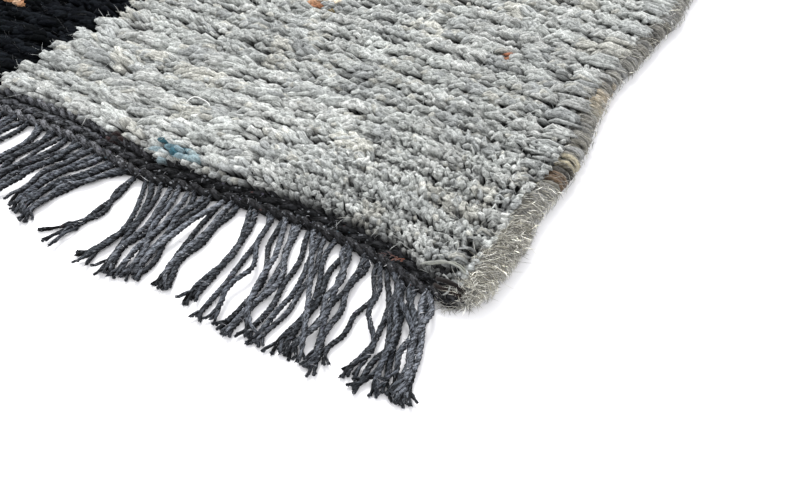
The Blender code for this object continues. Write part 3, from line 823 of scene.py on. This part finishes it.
rng = np.random.default_rng(78)
behind = bunched_strands([1.2] * len(BUNCHES))
in_front = bunched_strands(FRONT_BOWS)
in_front[LONE_STRAND][2] = LONE_SHIFT
for number, shift, bow, lift in STRAYS:
    root, _, _, length, _, swing, _ = in_front[number]
    in_front.append([root + 2, lift, shift, length - 3, bow, -swing, 0])
for strand in in_front:
    pull = CORNER_PULL * max(0, 1 - (HALF_X / MM - strand[0]) / CORNER_REACH)
    strand[0], strand[2] = strand[0] - pull, strand[2] + pull
in_front.append(in_front[LONE_STRAND])  # the lone strand is a pair, twisted together
print(len(in_front), "strands in front,", len(behind), "behind")

# %% Plies of the fringe
PLY_RADIUS, PLY_OFFSET, PLY_TURN = 1.27 * MM, 1.08 * MM, 11 * MM
OPEN_LENGTH = 12 * MM
LONE_PAIR = (LONE_STRAND, len(in_front) - 1)  # their plies lie apart


def fringe_plies(strands, end, stations):
    """Centres and radii of three plies a strand, opening over the last of its length."""
    centres, radius = [], []
    s = np.linspace(-0.07, 1, stations)
    inside = np.maximum(s, 0)
    for number, strand in enumerate(strands):
        root, lift, shift, length, bow, swing, gathering = (value * MM for value in strand)
        early = smooth(ramp(inside, 0, 0.55))  # a bunch comes together before the middle of its length
        aside = shift * inside + gathering * (early - inside) + bow * np.sin(math.pi * inside)
        aside += swing * np.sin(2 * math.pi * inside)
        for waves, spread in ((3, 1.6), (5, 0.9)):
            aside += rng.normal(0, spread * MM) * np.sin(waves * math.pi * inside)
        foot_x, foot_y = lay(-end * root, end * STRAND_ROOT)
        line = np.stack([foot_x - end * aside, foot_y + end * length * s], axis=1)
        heading = unit(np.gradient(line, axis=0))
        normal = heading[:, ::-1] * (-1, 1)
        lone = end < 0 and number in LONE_PAIR
        open_length = (2.3 if lone else rng.uniform(0.7, 1.3)) * OPEN_LENGTH
        loose = ramp(s * length, length - open_length, open_length)
        rise = ramp(s * length, 12 * MM, -16 * MM) ** 1.5 * 3.0 * MM
        rise += lift * np.clip(5 * s * (1.02 - s), 0, 1)
        start, fan, girth = rng.uniform(0, 6.28), rng.permutation([-1.0, 0.1, 1.0]), rng.uniform(0.86, 1.1)
        for ply in range(3):
            turns = np.minimum(s * length, length - 0.6 * open_length) / PLY_TURN
            phase = start + 2 * math.pi * (turns + ply / 3)
            spread = fan[ply] * (0.42 if lone else rng.uniform(0.2, 0.55)) * open_length * loose**1.4
            offset = girth * PLY_OFFSET * (1 - 0.5 * loose)
            place = line + normal * (offset * np.cos(phase) + spread)[:, None]
            place += heading * (loose**2 * rng.uniform(-4, 2) * MM)[:, None]
            z = PLY_OFFSET + PLY_RADIUS + offset * np.sin(phase) + rise * (1 - loose)
            z += loose * rng.uniform(-1.0, 1.6) * MM
            centres.append(np.column_stack([place, np.maximum(z, PLY_RADIUS)]))
            radius.append(girth * PLY_RADIUS * (1 - 0.1 * loose[1:-1]) * rng.normal(1, 0.06, stations - 2))
    return np.array(centres), np.array(radius)


for name, strands, end, stations, sides in (("front", in_front, -1, 36, 5), ("back", behind, 1, 24, 4)):
    centres, radius = fringe_plies(strands, end, stations)
    shade = CHARCOAL_LOTS[rng.integers(0, 4, len(strands))] * rng.uniform(0.6, 1.1, (len(strands), 1))
    # painted light and shade: strands that lie over others are drawn paler, and those beneath them darker, as
    # in their shade
    shade *= np.array([[0.8 + 0.1 * min(strand[1], 3)] for strand in strands])  # those on top are paler
    shade = np.repeat(shade, 3, axis=0)
    plies = skin(centres, radius, UP, sides, 0.14 * MM)
    lint_seats.append(centres[centres[:, :, 2] > 3 * MM] + (0, 0, PLY_RADIUS))
    # two threads burst from the cut end of every ply
    tips, way = (np.repeat(each, 2, axis=0) for each in (centres[:, -2], centres[:, -1] - centres[:, -5]))
    way = unit(way) + rng.normal(0, 0.36, way.shape)
    share = np.array((0, 0.3, 0.88, 1))[:, None]
    threads = tips[:, None] + way[:, None] * share * rng.uniform(1.2, 2.8, (len(tips), 1, 1)) * MM
    threads[:, :, 2] = np.maximum(threads[:, :, 2], 0.5 * MM)
    thin = skin(threads, 1.05 * MM, (0.3, 0.2, 0.93), 4)
    # painted shade and light: each ply is drawn darker low down and near the strand's axis, where the plies
    # meet, lighter on its top and darker on its lower side; it is also darker at both ends of the strand
    pale = painted_shade_and_light(plies, shade, 0.8 * MM, 4.8 * MM, 0.28, 1.36)  # dark between plies and on flanks too
    axis = np.repeat(centres.reshape(-1, 3, stations, 3).mean(axis=1), 3, axis=0)
    off_axis = plies[0].reshape(len(shade), -1, 3)[:, :-2] - np.repeat(axis[:, 1:-1], sides, axis=1)
    between = 0.5 + 0.75 * ramp(np.linalg.norm(off_axis, axis=2), 1.1 * MM, 1.2 * MM)
    crest = np.interp(off_axis[:, :, 2], (-0.4 * MM, 1.7 * MM), (0.18, 1.55))
    along = np.interp(np.linspace(0, 1, stations - 2), (0, 0.08, 0.82, 1), (0.55, 1, 1, 0.6))
    pale[:, :-2] *= (between * crest * np.repeat(along, sides))[:, :, None]
    parts = [(plies, pale, rng.random(len(shade))),
             (thin, np.repeat(shade, 2, axis=0) * 0.9, rng.random(len(threads)))]
    as_piece(f"fringe_{name}_plies", parts, charcoal)
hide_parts("fringe_front")
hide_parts("fringe_back")

# %% [markdown]
# ## Loose hair
# Coarse mountain wool sheds, so fine hairs follow the side rolls round and end a little off them.
# Real hairs are 0.05 mm thick; here they are about 0.25 mm.

# %% Hairs of the side rolls
BEIGE_HAIR = dyes("#d3d1c7 #b9b6a8 #e9e8e1 #858172 #a09e94")
ROLL_HAIRS = (  # side, number, from y, to y, lift in mm, how dark
    (1, 1500, -0.462, -0.38, 5, -0.25), (1, 450, -0.40, -0.33, 4, -0.25),
    (1, 1200, -0.38, 0.25, 3, -0.5), (-1, 500, -0.46, 0.46, 3, -0.5))
hairs = []
for side, number, y_from, y_to, lift, darker in ROLL_HAIRS:
    shade = BEIGE_HAIR[rng.integers(0, 5, number)] * np.exp(rng.normal(darker, 0.6, (number, 1)))
    share = np.array((0, 0.35, 0.7, 1))
    y = rng.uniform(y_from, y_to, (number, 1)) + rng.normal(0, 5.5, (number, 1)) * MM * share
    angle = rng.uniform(0.1, 2.9, (number, 1)) - rng.uniform(0.2, 1.2, (number, 1)) * share
    off = (0.5 - rng.uniform(0.2, 1, (number, 1)) * lift * share**1.5) * MM
    y = np.clip(y, -HALF_Y - ROLL_END, HALF_Y + ROLL_END)
    centres = roll_path(side, y, angle, off) + rng.normal(0, 0.35, (number, 4, 3)) * MM
    centres[:, :, 2] = np.maximum(centres[:, :, 2], 0.3 * MM)
    hairs.append((skin(centres, 0.14 * MM, (0.2, 0.93, 0.31), 3), shade, rng.random(number)))
print(sum(row[1] for row in ROLL_HAIRS), "hairs on the side rolls")

# %% [markdown]
# Most hair stands out at the worn corner in front, where the end of the right roll has come
# undone. Part of it sweeps from there to the cords like a beard.

# %% Hairs at the worn corner
HAIRS, BEARD = 700, 170


def add_hairs(base, out, reach, curl, radius, shade):
    """Adds bent hairs. reach is the least and the most length, in mm, as the radius is."""
    share = np.array((0.0, 0.4, 0.75, 1.0))[:, None]
    length = rng.uniform(*reach, (len(base), 1, 1)) * MM
    bend = rng.normal(0, 1, (len(base), 1, 3)) * share**2 * curl * length
    centres = base[:, None] + out[:, None] * (share * length) + bend
    centres[:, :, 2] = np.clip(centres[:, :, 2], 0.3 * MM, 31 * MM)
    hairs.append((skin(centres, radius * MM, (0.31, 0.2, 0.93), 3), shade, rng.random(len(base))))


y, angle = rng.uniform(-0.462, -0.385, HAIRS), rng.uniform(0.1, 2.7, HAIRS)
y = np.where(rng.random(HAIRS) < 0.35, rng.uniform(-0.463, -0.452, HAIRS), y)
base = roll_path(1, y, angle, 0.5 * MM)
out = unit(base - roll_path(1, np.minimum(y + 2 * MM, -0.40), angle, 8 * MM))
out = unit(out + rng.normal(0, 0.7, (HAIRS, 3)))
sweep = rng.uniform(0, 1, BEARD)
height = rng.uniform(0.5, 5, BEARD) * MM
base[:BEARD] = xyz(0.275 + 0.018 * sweep, -0.4675 + 0.008 * sweep, height)
base[:BEARD] += rng.normal(0, 1.0, (BEARD, 3)) * MM
out[:BEARD] = rng.normal(0, 0.5, (BEARD, 3)) + (-0.4, -0.3, -0.15)
shade = BEIGE_HAIR[rng.choice((0, 1, 2, 2, 4), HAIRS)]
shade = shade * np.exp(rng.normal(-0.1, 0.45, (HAIRS, 1)))
shade[:BEARD] *= rng.uniform(0.3, 0.8, (BEARD, 1))
add_hairs(base, out, (3, 8), 0.5, 0.12, shade)
print(HAIRS, "hairs at the worn corner,", BEARD, "of them its beard")

# %% [markdown]
# Single fibres of the pile have worked loose too. They lie about its tips over the front two
# thirds, a little paler than the wool below.

# %% Hairs over the pile
PILE_HAIRS = 5000


def scattered(number, x, y, spread, top):
    """Directions about (x, y) in plan, which rise by up to top."""
    plan = [rng.normal(middle, spread, number) for middle in (x, y)]
    return unit(xyz(*plan, rng.uniform(-0.1, top, number)))


chosen = rng.choice(np.flatnonzero(end_row < 24), PILE_HAIRS)
base = paths[chosen, 3] + np.array((0, 0, 1.6)) * MM + rng.normal(0, 1.2, (PILE_HAIRS, 3)) * MM
out = scattered(PILE_HAIRS, -0.6, -0.3, 0.6, 0.4)
pale = wool[chosen] * rng.uniform(1.0, 1.9, (PILE_HAIRS, 1)) + 0.004
add_hairs(base, out, (4, 11), 0.45, 0.12, pale)
print(PILE_HAIRS, "hairs over the pile")

# %% [markdown]
# A few single yarns lie loose: a pale loop on the pile and curls of the wrapping yarn that came
# undone at the worn corner. A bit of reddish rag shows in the cord beside them.

# %% Single yarns
CURLS = (  # radius, colour and course of each yarn at the worn corner, all in mm
    (0.7, "#8f918b",
     ((254, -457, 17), (262, -452, 19.5), (270, -450, 20.5), (278, -450, 20), (284, -452, 16))),
    (0.8, "#85877f", ((257, -455, 17), (264, -452, 19), (271, -449, 20), (277, -448, 20), (283, -450, 17))),
    (0.6, "#8a8c8a", ((270, -457, 16), (275, -459, 16), (278, -463, 13), (275, -467, 10))),
    (1.6, "#231d1b", ((266, -461, 10), (273, -463, 11), (280, -463, 11), (285, -461, 8), (286, -461, 3))),
    (1.6, "#1a1615", ((266, -458, 12), (274, -460, 15), (281, -460, 14.5), (287, -459, 9))),
)
RAG_FIBRES = 16


def add_single(course, radius, hex_colour, lot, sides, fluff=0.0):
    """Adds one yarn of even thickness. The radius is in mm."""
    yarn = skin(course[None], radius * MM, UP, sides, fluff)
    hairs.append((yarn, dyes(hex_colour), lot))


ring = np.linspace(3.4, 0.1, 26)
loop = xyz(10 * np.cos(ring), 7 * np.sin(ring) + 1.5 * np.cos(2.3 * ring), 2.5 * np.sin(ring))
add_single((loop + (24, -391, 23.5)) * MM, 0.4, "#fbfbf8", 0.5, 4)
for size, hex_colour, course in CURLS:
    course = np.array(course) * MM
    share, finer = np.linspace(0, 1, len(course)), np.linspace(0, 1, 20)
    curl = np.stack([np.polyval(np.polyfit(share, axis, 3), finer) for axis in course.T], axis=1)
    add_single(curl, size, hex_colour, 0.4, 7, 0.2 * MM)
rag_x, rag_y = rng.uniform(0.226, 0.244, RAG_FIBRES), rng.normal(-0.4545, 0.001, RAG_FIBRES)
base = xyz(rag_x, rag_y, 13 * MM)
out = rng.normal(0, 0.3, (RAG_FIBRES, 3)) + (-0.9, -0.3, 0)
fading = np.sort(rng.integers(0, 4, RAG_FIBRES))[::-1][np.argsort(np.argsort(rag_x))]
add_hairs(base, out, (3, 5), 0.3, 0.35, dyes("#9c6450 #6a4a42 #4e3a39 #423433")[fading])
print(len(CURLS), "curls, a loop and a rag yarn")

# %% [markdown]
# Re-spun yarn sheds too: short pale and grey lint clings to the tops of the cords and strands.

# %% Lint on the charcoal yarn
LINT = 1500
LINT_LOTS = dyes("#8f8f94 #77777c #b9b9bd #5d5d62 #ffffff")
lint_seat = np.concatenate(lint_seats)
base = lint_seat[rng.integers(0, len(lint_seat), LINT)] + rng.normal(0, 0.8, (LINT, 3)) * MM
out = scattered(LINT, 0, 0, 1, 0.3)
lint_lot = rng.choice(5, LINT, p=(0.26, 0.27, 0.2, 0.21, 0.06))
add_hairs(base, out, (1.5, 5), 0.4, 0.13, LINT_LOTS[lint_lot])
hair = as_piece("loose_hair", hairs, hair_wool)
print(sum(piece_triangles.values()) + 2 * len(ground_mesh.polygons), "triangles added in all")
